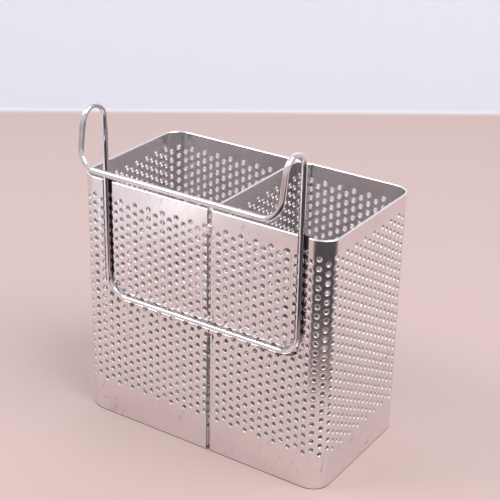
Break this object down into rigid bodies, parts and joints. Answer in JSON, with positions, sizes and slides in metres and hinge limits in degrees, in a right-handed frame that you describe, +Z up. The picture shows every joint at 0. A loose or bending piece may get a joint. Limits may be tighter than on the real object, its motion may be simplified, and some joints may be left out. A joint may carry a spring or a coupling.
{
  "type": "chopstick basket",
  "caption": "Open-topped perforated steel chopstick and cutlery basket, divided into compartments, with a wire rail hanger on its front.",
  "frame": {"origin": "middle of the whole thing's footprint, wire hanger included, at the level of the bottom edge", "axes": "+Z up, -Y out of the front with the wire hanger, +X to the right seen from the front"},
  "size_m": [0.15, 0.1024, 0.1809],
  "materials": {
    "sheet_front": "satin",
    "sheet_side": "satin",
    "sheet_corner": "satin",
    "sheet_inner": "satin",
    "pan": "satin",
    "wire": "polished"
  },
  "bodies": {
    "root": {"front_left_panel": "sheet_front", "front_right_panel": "sheet_front", "left_wall": "sheet_side", "back_wall": "sheet_side", "right_wall": "sheet_side", "corner_front_left": "sheet_corner", "corner_back_left": "sheet_corner", "corner_back_right": "sheet_corner", "corner_front_right": "sheet_corner", "divider": "sheet_inner", "base_pan_left": "pan", "base_pan_right": "pan", "hanger_wire": "wire"}
  },
  "joints": []
}
